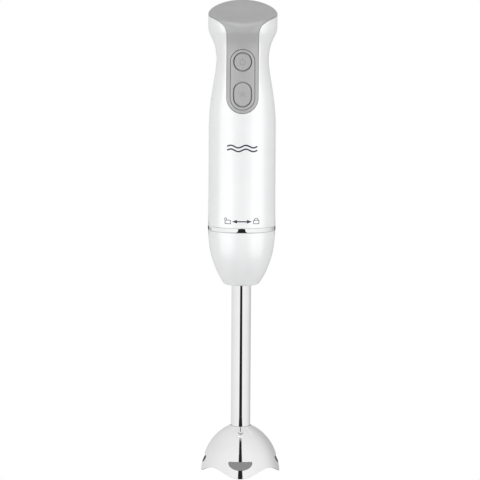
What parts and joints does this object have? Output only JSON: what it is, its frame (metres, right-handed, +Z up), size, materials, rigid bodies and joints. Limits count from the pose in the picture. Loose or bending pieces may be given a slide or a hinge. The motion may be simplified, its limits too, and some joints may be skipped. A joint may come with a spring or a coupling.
{
  "type": "immersion blender",
  "caption": "Hand blender with a slim waisted handle, a slanted top, push buttons down the front, a twist-lock blending arm and a wavy-rimmed blade bell.",
  "frame": {"origin": "centre of the bell's rim, on the common axis of motor, shaft and tube, at the height of the rim's lowest points", "axes": "+Z up the motor and shaft axis from bell to handle, -Y towards the side with the buttons, +X to that side's right"},
  "size_m": [0.065, 0.065, 0.3863],
  "materials": {
    "white_plastic": "satin gloss",
    "grey_plastic": "fine satin",
    "chrome": "mirror",
    "polished_steel": "polished",
    "black_plastic": "satin",
    "inner_plastic": "moulded",
    "laminated_iron": "laminated sheet",
    "copper_winding": null,
    "brass": "bright",
    "sintered_bronze": "sintered, oiled",
    "carbon": "pressed graphite",
    "rubber": "matt",
    "spring_steel": "bright wire",
    "circuit_board": "solder mask",
    "capacitor_case": "moulded"
  },
  "bodies": {
    "motor_unit": {"front_housing": "white_plastic", "rear_housing": "white_plastic", "top_panel": "grey_plastic", "button_bezel": "grey_plastic", "switch_carrier": "inner_plastic", "circuit_board": "circuit_board", "suppression_capacitor": "capacitor_case", "power_switch": "black_plastic", "turbo_switch": "black_plastic", "power_spring": "spring_steel", "turbo_spring": "spring_steel", "cord_gland": "grey_plastic", "cord_clamp": "inner_plastic", "clamp_screw_left": "polished_steel", "clamp_screw_right": "polished_steel", "stator_core": "laminated_iron", "field_coil_front": "copper_winding", "field_coil_rear": "copper_winding", "upper_bracket": "inner_plastic", "lower_bracket": "inner_plastic", "motor_screw_left": "polished_steel", "motor_screw_right": "polished_steel", "brush_holder_front": "brass", "brush_holder_rear": "brass", "carbon_brush_front": "carbon", "carbon_brush_rear": "carbon", "brush_spring_front": "spring_steel", "brush_spring_rear": "spring_steel", "upper_bearing": "sintered_bronze", "lower_bearing": "sintered_bronze", "motor_mount_ring": "rubber", "bayonet_socket": "inner_plastic", "socket_screw_front": "polished_steel", "socket_screw_rear": "polished_steel"},
    "rotor": {"motor_shaft": "polished_steel", "armature_core": "laminated_iron", "armature_winding": "copper_winding", "commutator": "copper_winding", "cooling_fan": "inner_plastic", "drive_coupling": "inner_plastic"},
    "power_key": {"power_button": "grey_plastic", "power_plunger": "black_plastic"},
    "turbo_key": {"turbo_button": "grey_plastic", "turbo_plunger": "black_plastic"},
    "lock_collar": {"lock_ring": "chrome", "index_mark": "black_plastic"},
    "blending_arm": {"coupling_cone": "white_plastic", "coupling_hub": "inner_plastic", "shaft_tube": "polished_steel", "upper_bush": "sintered_bronze", "bush_carrier": "inner_plastic", "lower_bush": "sintered_bronze", "shaft_seal": "rubber", "bell_guard": "polished_steel"},
    "blade_drive": {"drive_shaft": "polished_steel", "driven_coupling": "inner_plastic", "shaft_clip": "spring_steel", "blade_hub": "polished_steel", "blade": "polished_steel", "blade_nut": "polished_steel"}
  },
  "joints": [
    {"name": "rotor_spin", "type": "hinge", "parent": "motor_unit", "child": "rotor", "pos_m": [0, 0, 0.25], "axis": [0, 0, 1], "continuous": true},
    {"name": "power_press", "type": "slide", "parent": "motor_unit", "child": "power_key", "axis": [0, 1, 0], "range_m": [0, 0.0015], "stiffness_N_per_m": 600, "springref_m": -0.002, "deforming": ["power_spring"]},
    {"name": "turbo_press", "type": "slide", "parent": "motor_unit", "child": "turbo_key", "axis": [0, 1, 0], "range_m": [0, 0.0015], "stiffness_N_per_m": 600, "springref_m": -0.002, "deforming": ["turbo_spring"]},
    {"name": "lock_twist", "type": "hinge", "parent": "motor_unit", "child": "lock_collar", "pos_m": [0, 0, 0.2005], "axis": [0, 0, 1], "range_deg": [-25, 25]},
    {"name": "arm_pull", "type": "slide", "parent": "lock_collar", "child": "blending_arm", "axis": [0, 0, 1], "range_m": [-0.06, 0]},
    {"name": "blade_spin", "type": "hinge", "parent": "blending_arm", "child": "blade_drive", "pos_m": [0, 0, 0.012], "axis": [0, 0, 1], "continuous": true}
  ],
  "couplings": [
    {"joint": "blade_spin", "follows": "rotor_spin", "ratio": 1}
  ]
}
